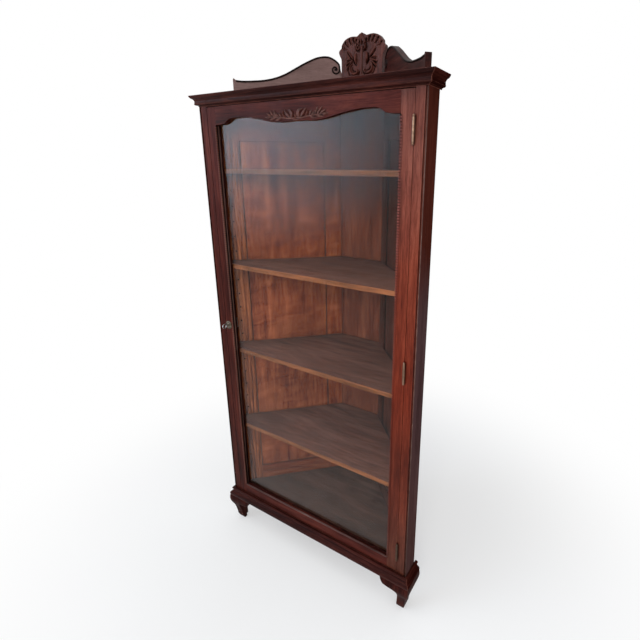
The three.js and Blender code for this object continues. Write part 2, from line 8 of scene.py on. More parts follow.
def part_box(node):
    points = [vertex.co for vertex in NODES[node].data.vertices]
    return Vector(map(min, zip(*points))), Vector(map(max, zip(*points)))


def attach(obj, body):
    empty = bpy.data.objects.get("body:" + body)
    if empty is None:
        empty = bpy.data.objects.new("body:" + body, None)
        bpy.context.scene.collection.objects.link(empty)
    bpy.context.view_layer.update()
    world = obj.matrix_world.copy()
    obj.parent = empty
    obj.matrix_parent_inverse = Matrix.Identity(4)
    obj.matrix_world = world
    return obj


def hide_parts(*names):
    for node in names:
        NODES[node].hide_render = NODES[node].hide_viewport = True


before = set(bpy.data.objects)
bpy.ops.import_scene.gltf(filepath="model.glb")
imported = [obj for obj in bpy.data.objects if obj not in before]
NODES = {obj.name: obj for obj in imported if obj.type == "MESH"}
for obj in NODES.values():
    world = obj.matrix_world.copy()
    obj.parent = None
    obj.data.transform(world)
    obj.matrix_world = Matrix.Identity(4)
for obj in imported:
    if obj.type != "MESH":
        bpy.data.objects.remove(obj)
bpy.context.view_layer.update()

# The build's plane Y = 0 is the front of the body. The frame's origin lies under the middle of the whole.
ORIGIN_Y = 194.0
MM = 0.001
# Share of a step along a wall at 45 degrees that goes sideways, and as much that goes to the rear
SLANT = math.sqrt(0.5)


def place(x, y, z):
    """A point given in millimetres behind the body's front plane, in the frame's metres."""
    return (x * MM, (y - ORIGIN_Y) * MM, z * MM)


# Nodes

# Sockets of a Mix node that mixes colours
MIX_FACTOR, MIX_FIRST, MIX_SECOND, MIX_RESULT = 0, 6, 7, 2


def new_material(name):
    mat = bpy.data.materials.new(name)
    mat.use_nodes = True
    tree = mat.node_tree
    tree.nodes.clear()
    return mat, tree


def node(tree, kind, **settings):
    """A new node. Settings that start with in_ are its inputs, and the others its own properties."""
    made = tree.nodes.new("ShaderNode" + kind)
    for key, value in settings.items():
        if key.startswith("in_"):
            made.inputs[key[3:].replace("_", " ")].default_value = value
        else:
            setattr(made, key, value)
    return made


def grey(value):
    return (value, value, value)


def scaled(tone, factor):
    return tuple(part * factor for part in tone)


def ramp(tree, source, stops):
    """A colour ramp with its stops given as places and colours."""
    made = node(tree, "ValToRGB")
    made.color_ramp.elements[0].position = stops[0][0]
    made.color_ramp.elements[0].color = (*stops[0][1], 1)
    made.color_ramp.elements[1].position = stops[-1][0]
    made.color_ramp.elements[1].color = (*stops[-1][1], 1)
    for position, colour in stops[1:-1]:
        made.color_ramp.elements.new(position).color = (*colour, 1)
    tree.links.new(source, made.inputs["Fac"])
    return made.outputs["Color"]


def rising(tree, source, low, high):
    """0 up to the lower value and 1 from the higher one."""
    return ramp(tree, source, [(low, grey(0.0)), (high, grey(1.0))])


def falling(tree, source, low, high, end=0.0):
    """1 up to the lower value and the end value from the higher one."""
    return ramp(tree, source, [(low, grey(1.0)), (high, grey(end))])


def math_node(tree, operation, first, second):
    made = node(tree, "Math", operation=operation)
    for slot, value in enumerate((first, second)):
        if isinstance(value, (int, float)):
            made.inputs[slot].default_value = value
        else:
            tree.links.new(value, made.inputs[slot])
    return made.outputs["Value"]


def product(tree, first, second):
    return math_node(tree, "MULTIPLY", first, second)


def centred(tree, value, weight):
    return product(tree, math_node(tree, "SUBTRACT", value, 0.5), weight)


def total(tree, values):
    out = values[0]
    for value in values[1:]:
        out = math_node(tree, "ADD", out, value)
    return out


def mix_colour(tree, factor, first, second, blend="MIX"):
    made = node(tree, "Mix", data_type="RGBA", blend_type=blend)
    for key, value in ((MIX_FACTOR, factor), (MIX_FIRST, first), (MIX_SECOND, second)):
        if isinstance(value, (int, float)):
            made.inputs[key].default_value = value
        elif isinstance(value, tuple):
            made.inputs[key].default_value = (*value, 1)
        else:
            tree.links.new(value, made.inputs[key])
    return made.outputs[MIX_RESULT]


def tinted(tree, colour, tint):
    return mix_colour(tree, 1.0, colour, tint, "MULTIPLY")


def mix_shader(tree, factor, first, second):
    made = node(tree, "MixShader")
    for slot, value in enumerate((factor, first, second)):
        tree.links.new(value, made.inputs[slot])
    return made.outputs["Shader"]


def noise(tree, vector, scale, detail, roughness, distortion=0.0):
    made = node(tree, "TexNoise", in_Scale=scale, in_Detail=detail, in_Roughness=roughness,
                in_Distortion=distortion)
    tree.links.new(vector, made.inputs["Vector"])
    return made.outputs["Fac"]


def corner_light(tree, reach):
    """How open a place is within this reach: low in corners and recesses."""
    corners = node(tree, "AmbientOcclusion", samples=6, in_Distance=reach)
    return corners.outputs["AO"]


def split_vector(tree, vector):
    made = node(tree, "SeparateXYZ")
    tree.links.new(vector, made.inputs["Vector"])
    return made.outputs


def give_bumps(tree, shader, height, strength, distance):
    bump = node(tree, "Bump", in_Strength=strength, in_Distance=distance)
    tree.links.new(height, bump.inputs["Height"])
    tree.links.new(bump.outputs["Normal"], shader.inputs["Normal"])


def finish_material(tree, surface):
    tree.links.new(surface, node(tree, "OutputMaterial").inputs["Surface"])


# Wood, metal and glass

# Places of a wood's dark, middle and light tones on its ramp
TONE_STOPS = (0.22, 0.5, 0.8)
# How far a piece's random number moves its pattern on along each axis, in metres
PIECE_STEPS = {"X": 3.1, "Y": 5.7, "Z": 8.3}
# How much finer the pattern is across the grain than along it
WIDE, THIN, FINE = 9.0, 14.0, 30.0
# A ramp's places and tones stop at 1, so heights and their tints go in at half size
HALF = 0.5
QUARTER = math.pi / 2
GRAIN_TURN = {
    "X": (0.0, 0.0, 0.0), "Y": (0.0, 0.0, -QUARTER), "Z": (0.0, QUARTER, 0.0),
    "left wall": (0.0, 0.0, -QUARTER / 2), "right wall": (0.0, 0.0, QUARTER / 2),
}


def tone_ramp(tree, source, tones):
    return ramp(tree, source, list(zip(TONE_STOPS, tones)))


def piece_coordinates(tree, turn, across):
    """Object coordinates with the grain turned to X and drawn out along it, then the plain ones.

    A random step for each piece moves its pattern on.
    """
    where = node(tree, "TexCoord").outputs["Object"]
    chance = node(tree, "ObjectInfo").outputs["Random"]
    step = node(tree, "CombineXYZ")
    for axis, factor in PIECE_STEPS.items():
        tree.links.new(product(tree, chance, factor), step.inputs[axis])
    moved = node(tree, "VectorMath", operation="ADD")
    tree.links.new(where, moved.inputs[0])
    tree.links.new(step.outputs["Vector"], moved.inputs[1])
    turned = node(tree, "Mapping", in_Rotation=turn)
    tree.links.new(moved.outputs["Vector"], turned.inputs["Vector"])
    stretched = node(tree, "Mapping", in_Scale=(1.0, across, across))
    tree.links.new(turned.outputs["Vector"], stretched.inputs["Vector"])
    return stretched.outputs["Vector"], where


def wood_pattern(tree, along, broad, streaks, fibres, figure, flame):
    """The grain as a share from dark to light, its fibres and pores, and the plain coordinates."""
    turn = GRAIN_TURN[along]
    wide, where = piece_coordinates(tree, turn, WIDE)
    thin, _ = piece_coordinates(tree, turn, THIN)
    fine, _ = piece_coordinates(tree, turn, FINE)
    fibre = noise(tree, fine, 24.0, 6.0, 0.7)
    parts = [
        math_node(tree, "ADD", centred(tree, noise(tree, wide, 3.0, 4.0, 0.55, 0.5), broad), 0.5),
        centred(tree, noise(tree, thin, 12.0, 4.0, 0.6, 0.3), streaks),
        centred(tree, fibre, fibres),
    ]
    if figure:
        rings = node(tree, "TexWave", wave_type="BANDS", bands_direction="Y", wave_profile="SIN",
                     in_Scale=3.2, in_Distortion=7.0, in_Detail=3.0, in_Detail_Scale=0.8,
                     in_Detail_Roughness=0.6)
        tree.links.new(wide, rings.inputs["Vector"])
        parts.append(centred(tree, rings.outputs["Fac"], figure))
    if flame:
        tilted = node(tree, "Mapping", in_Rotation=(0.5, 0.6, 0.0))
        tree.links.new(where, tilted.inputs["Vector"])
        squashed = node(tree, "Mapping", in_Scale=(5.0, 5.0, 30.0))
        tree.links.new(tilted.outputs["Vector"], squashed.inputs["Vector"])
        curl = noise(tree, squashed.outputs["Vector"], 1.6, 4.0, 0.6, 1.0)
        parts.append(centred(tree, curl, flame))
    pores = falling(tree, noise(tree, fine, 60.0, 2.0, 0.5), 0.34, 0.43)
    return total(tree, parts), fibre, pores, where


def edge_wear(tree, colour, where, normal, amount, tone, bare):
    """The colour with another tone that shows through on worn edges, in patches."""
    rounded = node(tree, "Bevel", samples=4, in_Radius=0.0022)
    bend = node(tree, "VectorMath", operation="DOT_PRODUCT")
    tree.links.new(rounded.outputs["Normal"], bend.inputs[0])
    tree.links.new(normal, bend.inputs[1])
    edge = falling(tree, bend.outputs["Value"], 0.88, 0.99)
    scuffs = rising(tree, noise(tree, where, 45.0, 5.0, 0.65), *bare)
    return mix_colour(tree, product(tree, product(tree, edge, scuffs), amount), colour, tone)


def settled_dust(tree, colour, where, upward, amount):
    level = rising(tree, upward, 0.6, 0.98)
    film = ramp(tree, noise(tree, where, 9.0, 6.0, 0.7), [(0.3, grey(0.2)), (0.75, grey(1.0))])
    return mix_colour(tree, product(tree, product(tree, level, film), amount), colour, DUST)


def wood(name, tones, along="Z", rough=(0.3, 0.5), coat=0.03, gloss=0.07, broad=0.9, streaks=0.7, fibres=0.5,
         figure=0.0, flame=0.0, pore=0.5, outer=None, heights=None, side_shade=1.0, cheek=None, front=None,
         corner_shade=0.45, corner_shade_reach=0.01, worn=0.5, wear_and_highlight=None, dust=0.0):
    """Polished wood: streaks, fibres and dark pores along the grain, painted shade in corners, worn edges,
    dust on top.

    Some faces have tones of their own: outer for those that look to the rear, front for those that look
    forward, and cheek, with its tones at heights, for those that look to the right, where it paints a sheen.
    heights tints the whole by height, and for the red uprights paints a reflection near the top. flank paints
    shade on faces that look sideways and takes their gloss down, grime paints shade in corners and recesses,
    and rubbed is the tone of pale edges: partly real wear and partly a painted highlight.
    """
    dark, _, light = tones
    mat, tree = new_material(name)
    link = tree.links.new
    grain, fibre, pores, where = wood_pattern(tree, along, broad, streaks, fibres, figure, flame)
    colour = tone_ramp(tree, grain, tones)
    colour = mix_colour(tree, product(tree, pores, pore), colour, scaled(dark, 0.4))
    patches = noise(tree, where, 4.0, 3.0, 0.5)
    colour = tinted(tree, colour, ramp(tree, patches, [(0.3, grey(0.8)), (0.7, grey(1.15))]))

    geometry = node(tree, "NewGeometry").outputs
    facing = split_vector(tree, geometry["Normal"])
    if outer:
        colour = mix_colour(tree, rising(tree, facing["Y"], 0.2, 0.5), colour, tone_ramp(tree, grain, outer))
    if heights or cheek:
        level = split_vector(tree, geometry["Position"])["Z"]
        level = product(tree, math_node(tree, "ADD", level, centred(tree, patches, 0.3)), HALF)
    # Tint by height; for the red uprights this is partly a painted reflection near the top.
    if heights:
        tint = ramp(tree, level, [(z * HALF, scaled(tone, HALF)) for z, tone in heights])
        whole = node(tree, "VectorMath", operation="SCALE", in_Scale=1 / HALF)
        link(tint, whole.inputs[0])
        colour = tinted(tree, colour, whole.outputs["Vector"])
    # Painted shade on faces that look sideways.
    if side_shade < 1:
        sideways = math_node(tree, "ABSOLUTE", facing["X"], 0.0)
        colour = tinted(tree, colour, falling(tree, sideways, 0.5, 0.9, side_shade))
    # Painted sheen in the side board's tones on faces that look to the right.
    if cheek:
        side_tone = ramp(tree, level, [(z * HALF, tone) for z, tone in cheek])
        colour = mix_colour(tree, rising(tree, facing["X"], 0.6, 0.9), colour, side_tone)
    if front:
        forward = rising(tree, product(tree, facing["Y"], -1.0), 0.6, 0.9)
        banded = ramp(tree, grain, [(0.3, scaled(front, 0.35)), (0.7, front)])
        colour = mix_colour(tree, forward, colour, banded)

    # Painted shade: the colour darkens where little light reaches, in corners, recesses, gaps and carved
    # hollows.
    shade = ramp(tree, corner_light(tree, corner_shade_reach), [(0.3, grey(1.0 - corner_shade)), (0.85, grey(1.0))])
    colour = tinted(tree, colour, shade)
    # With the rubbed tone the pale edges are partly real wear and partly a painted highlight.
    bare = (0.3, 0.55) if wear_and_highlight else (0.42, 0.62)
    pale = wear_and_highlight or tuple(min(1.0, part * 1.4 + 0.02) for part in light)
    colour = edge_wear(tree, colour, where, geometry["Normal"], worn, pale, bare)
    if dust:
        colour = settled_dust(tree, colour, where, facing["Z"], dust)

    shader = node(tree, "BsdfPrincipled", in_Coat_Weight=coat, in_Coat_Roughness=0.2,
                  in_Specular_IOR_Level=gloss)
    if side_shade < 1:
        # Less gloss on faces that look sideways, along with their painted shade.
        gloss_off_sides = falling(tree, sideways, 0.5, 0.9)
        link(product(tree, gloss_off_sides, gloss), shader.inputs["Specular IOR Level"])
        link(product(tree, gloss_off_sides, coat), shader.inputs["Coat Weight"])
    link(colour, shader.inputs["Base Color"])
    smear = noise(tree, where, 14.0, 5.0, 0.6)
    spread = node(tree, "MapRange", in_From_Min=0.3, in_From_Max=0.7, in_To_Min=rough[0], in_To_Max=rough[1])
    link(total(tree, [product(tree, smear, 0.7), product(tree, fibre, 0.3)]), spread.inputs["Value"])
    link(spread.outputs["Result"], shader.inputs["Roughness"])
    uneven = noise(tree, where, 30.0, 3.0, 0.5)
    height = total(tree, [product(tree, fibre, 0.5), product(tree, pores, -0.6), product(tree, uneven, 0.5)])
    give_bumps(tree, shader, height, 0.35, 0.0006)
    finish_material(tree, shader.outputs["BSDF"])
    return mat


def metal(name, base, tarnish, rough, spots, reach=0.004, bare=0.85, low=1.0):
    """Old metal: bright where it's handled, dull in its recesses and darker low down, with fine scratches."""
    mat, tree = new_material(name)
    link = tree.links.new
    where = node(tree, "TexCoord").outputs["Object"]
    cloud = noise(tree, where, 120.0, 5.0, 0.65)
    recess = falling(tree, corner_light(tree, reach), 0.3, bare)
    dull = math_node(tree, "MAXIMUM", product(tree, rising(tree, cloud, 0.35, 0.68), spots), recess)
    colour = mix_colour(tree, dull, base, tarnish)
    if low < 1:
        level = split_vector(tree, node(tree, "NewGeometry").outputs["Position"])["Z"]
        colour = tinted(tree, colour, ramp(tree, level, [(0.35, grey(low)), (1.0, grey(1.0))]))
    shader = node(tree, "BsdfPrincipled", in_Metallic=1.0)
    link(colour, shader.inputs["Base Color"])
    spread = node(tree, "MapRange", in_To_Min=rough[0], in_To_Max=rough[1])
    link(dull, spread.inputs["Value"])
    link(spread.outputs["Result"], shader.inputs["Roughness"])
    scratches = noise(tree, where, 900.0, 3.0, 0.6)
    give_bumps(tree, shader, math_node(tree, "ADD", scratches, cloud), 0.25, 0.0003)
    finish_material(tree, shader.outputs["BSDF"])
    return mat


def old_glass(name):
    """Old drawn glass: a very slight ripple and a few smears. Lamps shine through it."""
    mat, tree = new_material(name)
    where = node(tree, "TexCoord").outputs["Object"]
    shader = node(tree, "BsdfPrincipled", in_Transmission_Weight=1.0, in_IOR=1.2,
                  in_Base_Color=(0.93, 0.96, 0.955, 1))
    smears = ramp(tree, noise(tree, where, 3.5, 6.0, 0.6, 0.8), [(0.45, grey(0.0)), (0.8, grey(0.06))])
    tree.links.new(smears, shader.inputs["Roughness"])
    give_bumps(tree, shader, noise(tree, where, 4.0, 1.0, 0.4), 0.02, 0.002)
    through = node(tree, "BsdfTransparent", in_Color=(0.93, 0.95, 0.945, 1))
    shadow_ray = node(tree, "LightPath").outputs["Is Shadow Ray"]
    surface = mix_shader(tree, shadow_ray, shader.outputs["BSDF"], through.outputs["BSDF"])
    finish_material(tree, surface)
    return mat


# Dark, middle and light tones
BLACK = ((0.003, 0.0012, 0.001), (0.009, 0.003, 0.0024), (0.03, 0.01, 0.008))
DARK = ((0.0075, 0.0014, 0.0011), (0.026, 0.0048, 0.0036), (0.074, 0.017, 0.0115))
BROWN = ((0.016, 0.0028, 0.002), (0.05, 0.0085, 0.006), (0.105, 0.0225, 0.0145))
# Red tones: a lighter, redder copy of the mahogany for the right-hand uprights, painted light
RED = ((0.055, 0.009, 0.0045), (0.15, 0.028, 0.0135), (0.26, 0.06, 0.031))
# Greyish-purple tones of the side boards: a painted sheen
SIDE = ((0.045, 0.022, 0.022), (0.07, 0.036, 0.037), (0.1, 0.055, 0.056))
# Light pinkish-grey tones: a painted sheen
SHEEN = ((0.08, 0.045, 0.04), (0.19, 0.115, 0.105), (0.27, 0.17, 0.155))
# Pale tones of thin beads and fillets: a painted highlight
LINE = ((0.07, 0.03, 0.024), (0.17, 0.09, 0.075), (0.3, 0.2, 0.17))
# Pale tones of the bottom rail's bead: a painted highlight along its top edge
RAIL_HIGHLIGHT = ((0.03, 0.013, 0.011), (0.085, 0.043, 0.038), (0.19, 0.115, 0.1))
# Pearl tones, lighter than their stiles: painted highlights on the beads
PEARL = ((0.1, 0.022, 0.014), (0.24, 0.057, 0.038), (0.37, 0.11, 0.078))
PEARL_HIGHLIGHT_PALE = ((0.07, 0.022, 0.015), (0.165, 0.062, 0.046), (0.28, 0.13, 0.1))
CARVED = ((0.018, 0.005, 0.0035), (0.072, 0.02, 0.0145), (0.15, 0.046, 0.033))
LEAF = ((0.014, 0.0035, 0.0026), (0.066, 0.017, 0.012), (0.2, 0.076, 0.058))
GOLD = ((0.06, 0.012, 0.004), (0.19, 0.044, 0.012), (0.37, 0.11, 0.038))
# Interior oak: PANEL for the wall that faces the light, and SHADED, with painted shade, for the other
PANEL = ((0.08, 0.011, 0.0035), (0.197, 0.04, 0.012), (0.345, 0.1, 0.038))
SHADED = ((0.022, 0.005, 0.003), (0.062, 0.0165, 0.01), (0.12, 0.036, 0.022))
BACK = ((0.05, 0.011, 0.0055), (0.125, 0.031, 0.0155), (0.22, 0.066, 0.036))
SHELF = ((0.045, 0.013, 0.009), (0.115, 0.039, 0.026), (0.19, 0.078, 0.054))
FLOOR = ((0.03, 0.011, 0.0068), (0.075, 0.029, 0.0185), (0.125, 0.054, 0.037))
OUTSIDE = ((0.04, 0.0155, 0.0085), (0.1, 0.043, 0.025), (0.17, 0.083, 0.052))
# Single tones
DUST = (0.17, 0.145, 0.13)
# Pale tone of moulding edges: partly real wear and partly a painted highlight
EDGE_WEAR_AND_HIGHLIGHT = (0.15, 0.05, 0.034)
SHELF_EDGE = (0.24, 0.078, 0.03)
# Tints at heights in metres. RED_SHEEN_HEIGHTS is darker towards the bottom and at the very top, with a
# painted bluish reflection just below the top; SIDE_SHEEN_HEIGHTS keeps the side's painted sheen below about
# 1.3 m and turns it red-brown above; the others are darker towards the bottom.
RED_SHEEN_HEIGHTS = [(0.25, (0.4, 0.52, 0.58)), (0.9, (0.85, 0.55, 0.42)), (1.35, (0.9, 0.82, 0.8)),
               (1.72, (0.95, 1.4, 1.9)), (1.78, (0.8, 1.1, 1.5)), (1.83, (0.42, 0.6, 0.85))]
BROWN_HEIGHTS = [(0.3, (0.72, 0.68, 0.64)), (1.3, (0.85, 0.75, 0.7)), (1.8, (1.0, 0.95, 0.95))]
HIGHLIGHT_LINE_HEIGHTS = [(0.3, (0.3, 0.24, 0.21)), (1.0, (0.45, 0.37, 0.33)), (1.5, (0.54, 0.5, 0.48))]
SIDE_SHEEN_HEIGHTS = [(0.4, (0.88, 0.82, 0.75)), (0.8, (1.0, 1.0, 1.0)), (1.2, (1.0, 1.0, 1.0)),
                (1.4, (0.81, 0.35, 0.22))]
CHEEK_SHEEN = [(z, tuple(tone * share for tone, share in zip(SIDE[1], tint))) for z, tint in SIDE_SHEEN_HEIGHTS]

MATT = {"gloss": 0.0, "coat": 0.0}
DULL = {"gloss": 0.03, "coat": 0.0}
# Strong painted shade in corners, gaps and hollows
CORNER_SHADED = {"corner_shade": 0.95, "corner_shade_reach": 0.008}
STRINGS = {"rough": (0.3, 0.45), "worn": 0.3, "corner_shade": 0.3, "corner_shade_reach": 0.002}
UPRIGHT = {"rough": (0.3, 0.45), "worn": 0.35, "side_shade": 0.35, "heights": RED_SHEEN_HEIGHTS, **CORNER_SHADED}
wood_red_z = wood("mahogany_upright", RED, **UPRIGHT)
wood_corner = wood("mahogany_corner", RED, cheek=CHEEK_SHEEN, **UPRIGHT)
wood_brown_x = wood("mahogany_rail", BROWN, along="X", rough=(0.3, 0.46), broad=1.2, gloss=0.04, coat=0.02,
                    **CORNER_SHADED)
wood_brown_z = wood("mahogany_stile", BROWN, rough=(0.3, 0.46), side_shade=0.5, gloss=0.035, coat=0.02,
                    heights=BROWN_HEIGHTS, **CORNER_SHADED)
wood_dark_x = wood("mahogany_across", DARK, along="X", rough=(0.28, 0.46), worn=1.0, gloss=0.045, coat=0.02,
                   wear_and_highlight=EDGE_WEAR_AND_HIGHLIGHT)
wood_dark_y = wood("mahogany_deep", DARK, along="Y", rough=(0.4, 0.6), worn=1.0, wear_and_highlight=EDGE_WEAR_AND_HIGHLIGHT, **MATT)
wood_dark_z = wood("mahogany_shaded", DARK, rough=(0.4, 0.6), worn=0.8, **DULL)
# Side boards: a painted greyish sheen below about 1.3 m
wood_side_sheen = wood("mahogany_side_sheen", SIDE, rough=(0.45, 0.65), heights=SIDE_SHEEN_HEIGHTS, **MATT)
wood_black = wood("mahogany_black", BLACK, rough=(0.4, 0.6), worn=0.6)
wood_fillet = wood("mahogany_fillet", RED, rough=(0.3, 0.45), worn=0.3, corner_shade=0.95, corner_shade_reach=0.003)
# The beads' light tones paint highlights on them
wood_pearl = {
    "left": wood("mahogany_pearl_highlight_pale", PEARL_HIGHLIGHT_PALE, heights=BROWN_HEIGHTS, **STRINGS),
    "right": wood("mahogany_pearl", PEARL, heights=RED_SHEEN_HEIGHTS, **STRINGS),
}
wood_highlight_x = wood("mahogany_highlight_across", RAIL_HIGHLIGHT, along="X", rough=(0.3, 0.45), worn=0.6)
wood_highlight_line = wood("mahogany_highlight_line", LINE, rough=(0.3, 0.45), worn=0.6, heights=HIGHLIGHT_LINE_HEIGHTS)
wood_top = wood("mahogany_top", DARK, along="X", rough=(0.5, 0.7), dust=0.75)
# The left board's tones paint a sheen; the right one keeps the plain dark tone
wood_gallery = {
    "left": wood("mahogany_gallery_left_sheen", SHEEN, along="left wall", rough=(0.45, 0.6), broad=0.6, streaks=0.4,
                 outer=BROWN),
    "right": wood("mahogany_gallery_right", DARK, along="right wall", rough=(0.45, 0.6), outer=BROWN),
}
wood_carved = wood("mahogany_carved", CARVED, rough=(0.25, 0.45), worn=0.9, broad=0.6, corner_shade=0.99, gloss=0.06,
                   corner_shade_reach=0.012)
wood_leaf = wood("mahogany_leaf", LEAF, along="X", rough=(0.2, 0.36), worn=0.9, broad=0.6, corner_shade=0.97,
                 gloss=0.2, corner_shade_reach=0.006)

OAK_INSIDE = {"rough": (0.36, 0.58), "outer": OUTSIDE, "corner_shade": 0.95, "worn": 0.0, **DULL}
OAK_RAIL = {"rough": (0.38, 0.6), "outer": OUTSIDE, "worn": 0.0, **DULL}
OAK_LEVEL = {"along": "X", "gloss": 0.04, "coat": 0.0, "fibres": 0.2, "pore": 0.2}
OAK_SHELF = {"rough": (0.34, 0.55), "worn": 0.8, "dust": 0.15, "streaks": 1.0, **OAK_LEVEL}
oak_z = wood("oak_upright", GOLD, rough=(0.38, 0.6), streaks=1.1, figure=0.2, pore=0.9, outer=OUTSIDE,
             corner_shade=0.9, worn=0.1, **DULL)
# Left wall lit, right wall in the same oak with painted shade
oak_wall = {
    "left": wood("oak_panel", PANEL, streaks=0.6, fibres=0.7, flame=0.7, **OAK_INSIDE),
    "right": wood("oak_panel_shaded", SHADED, streaks=0.8, flame=0.3, **OAK_INSIDE),
}
oak_back = wood("oak_back", BACK, streaks=0.8, fibres=0.7, flame=0.2, **OAK_INSIDE)
# Rails in the same two tones: lit on the left, painted shade on the right
oak_rail = {
    "left": wood("oak_rail_left", PANEL, along="left wall", **OAK_RAIL),
    "right": wood("oak_rail_right_shaded", SHADED, along="right wall", **OAK_RAIL),
}
oak_shelf = wood("oak_shelf", SHELF, front=SHELF_EDGE, **OAK_SHELF)
# The highest shelf's front edge is darker: painted shade
oak_shelf_top_shaded = wood("oak_shelf_high_shaded", SHELF, front=scaled(SHELF_EDGE, 0.6), **OAK_SHELF)
oak_floor = wood("oak_floor", FLOOR, rough=(0.42, 0.66), dust=0.2, **OAK_LEVEL)
brass = metal("brass_aged", (0.24, 0.148, 0.1), (0.025, 0.014, 0.01), rough=(0.3, 0.5), spots=0.4, reach=0.01,
              bare=0.95, low=0.4)
bronze = metal("bronze_worn", (0.15, 0.118, 0.085), (0.014, 0.01, 0.008), rough=(0.3, 0.55), spots=1.0)
steel = metal("steel_worn", (0.52, 0.51, 0.49), (0.15, 0.13, 0.12), rough=(0.28, 0.55), spots=0.6)
glass = old_glass("glass_drawn")

FINISH = {
    # The right-hand uprights take the red tones, painted light, and the left-hand ones the brown
    "front_stile_left": wood_brown_z, "front_stile_right": wood_corner,
    "door_stile_left": wood_brown_z, "door_stile_right": wood_red_z,
    "front_top_rail": wood_dark_x, "front_bottom_rail": wood_dark_x,
    "door_top_rail": wood_brown_x, "door_bottom_rail": wood_brown_x, "glazing_bead": wood_dark_z,
    "top_board": wood_top, "crest": wood_carved, "door_carving": wood_carved,
    "cornice_front": wood_dark_x, "base_moulding_front": wood_dark_x, "rear_foot": wood_dark_x,
    "back_board": oak_back, "bottom_board": oak_floor, "glass_pane": glass,
    "lock_rosette": bronze, "lock_bolt": brass, "lock_case": steel, "key": steel,
}
for side in ("left", "right"):
    FINISH[f"side_board_{side}"] = wood_side_sheen
    FINISH[f"cornice_return_{side}"] = wood_dark_y
    FINISH[f"base_moulding_return_{side}"] = wood_dark_y
    FINISH[f"front_foot_{side}"] = wood_dark_z
    FINISH[f"gallery_{side}"] = wood_gallery[side]
    FINISH[f"wall_front_stile_{side}"] = oak_z
    FINISH[f"wall_rear_stile_{side}"] = oak_wall[side]
    FINISH[f"wall_panel_{side}"] = oak_wall[side]
    FINISH[f"wall_top_rail_{side}"] = oak_rail[side]
    FINISH[f"wall_bottom_rail_{side}"] = oak_rail[side]
SHELVES = [name for name in NODES if name.startswith("shelf_") and "pin" not in name]
TOP_SHELF = max(SHELVES, key=lambda name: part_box(name)[1][2])
for name in SHELVES:
    FINISH[name] = oak_shelf_top_shaded if name == TOP_SHELF else oak_shelf
for name in NODES:
    if name.startswith(("hinge_", "shelf_pin_")):
        FINISH[name] = brass

SHARP_ANGLE = 28.0
WELD_REACH = 0.00001
# Radius of the rounded edges in metres, by how a piece's name starts
EDGES = (
    (("hinge_", "lock_", "key", "shelf_pin_", "glass"), 0.0003),
    (("wall_panel", "wall_rear_stile", "wall_front_stile", "back_board"), 0.0028),
    (("door_stile", "front_stile"), 0.0015),
    (("",), 0.0009),
)


def soften(obj, width):
    """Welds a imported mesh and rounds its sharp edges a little, by modifiers: the mesh itself stays."""
    mesh = obj.data
    for name in ("custom_normal", "sharp_edge", "sharp_face"):
        if name in mesh.attributes:
            mesh.attributes.remove(mesh.attributes[name])
    mesh.polygons.foreach_set("use_smooth", [True] * len(mesh.polygons))
    weld = obj.modifiers.new("weld", "WELD")
    weld.merge_threshold = WELD_REACH
    bevel = obj.modifiers.new("bevel", "BEVEL")
    bevel.width = width
    bevel.segments = 2
    bevel.limit_method = "ANGLE"
    bevel.angle_limit = math.radians(SHARP_ANGLE)
    bevel.harden_normals = True


for name, obj in NODES.items():
    obj.material_slots[0].material = FINISH[name]
    soften(obj, next(width for starts, width in EDGES if name.startswith(starts)))


# Shared mesh helpers

def add_mesh(name, verts, faces, mat):
    mesh = bpy.data.meshes.new(name)
    mesh.from_pydata([tuple(v) for v in verts], [], [tuple(f) for f in faces])
    mesh.validate()
    mesh.polygons.foreach_set("use_smooth", [True] * len(mesh.polygons))
    mesh.materials.append(mat)
    obj = bpy.data.objects.new(name, mesh)
    bpy.context.scene.collection.objects.link(obj)
    return obj


def gather(parts):
    """Several bodies as one, each given by its vertices and faces."""
    verts, faces = [], []
    for v, f in parts:
        start = len(verts)
        verts.extend(v)
        faces.extend(tuple(i + start for i in each) for each in f)
    return verts, faces


def smooth_path(points, steps):
    """Points on a curve through the given ones, evenly many between each two."""
    pts = np.asarray(points, float)
    padded = np.vstack([2 * pts[0] - pts[1], pts, 2 * pts[-1] - pts[-2]])
    out = []
    for i in range(len(pts) - 1):
        a, b, c, d = padded[i:i + 4]
        for t in np.linspace(0, 1, steps, endpoint=False):
            out.append(0.5 * (2 * b + (c - a) * t + (2 * a - 5 * b + 4 * c - d) * t ** 2
                              + (3 * b - a - 3 * c + d) * t ** 3))
    out.append(pts[-1])
    return np.array(out)


def spiral(centre, start, end, first, last, count=26):
    """A spiral in a plane from one radius and angle in degrees to another."""
    turns = np.radians(np.linspace(first, last, count))
    radii = np.linspace(start, end, count)
    return np.column_stack([centre[0] + radii * np.cos(turns), centre[1] + radii * np.sin(turns)])


def headings(path):
    """The direction of a path at each of its points."""
    ways = np.gradient(path, axis=0)
    return ways / np.maximum(np.linalg.norm(ways, axis=1), 1e-9)[:, None]


def along_path(values, count):
    """Values that lie evenly along a path, filled in for each of its points."""
    return np.interp(np.linspace(0, 1, count), np.linspace(0, 1, len(values)), values)


class Relief:
    """A flat face to carve on: millimetres along it, up it and out of it."""

    def __init__(self, origin, along, out):
        self.origin = np.array(origin, float)
        self.along = np.array(along, float)
        self.up = np.array([0.0, 0.0, 1.0])
        self.out = np.array(out, float)

    def point(self, a, b, h):
        return place(*(self.origin + self.along * a + self.up * b + self.out * h))


# Sections of a carved stroke
ROUND, RIDGE, HOLLOW, GOUGE = "round", "ridge", "hollow", "gouge"
CURVE_STEPS = 6
# A stroke with this many points or more is drawn already, the others get a curve through their points
DRAWN_POINTS = 12
UNCARVED = -1e3
FAR = 1e3
# The ground beside a stroke stays cut back this far, and then comes up again
FLAT_GROUND = 4.0


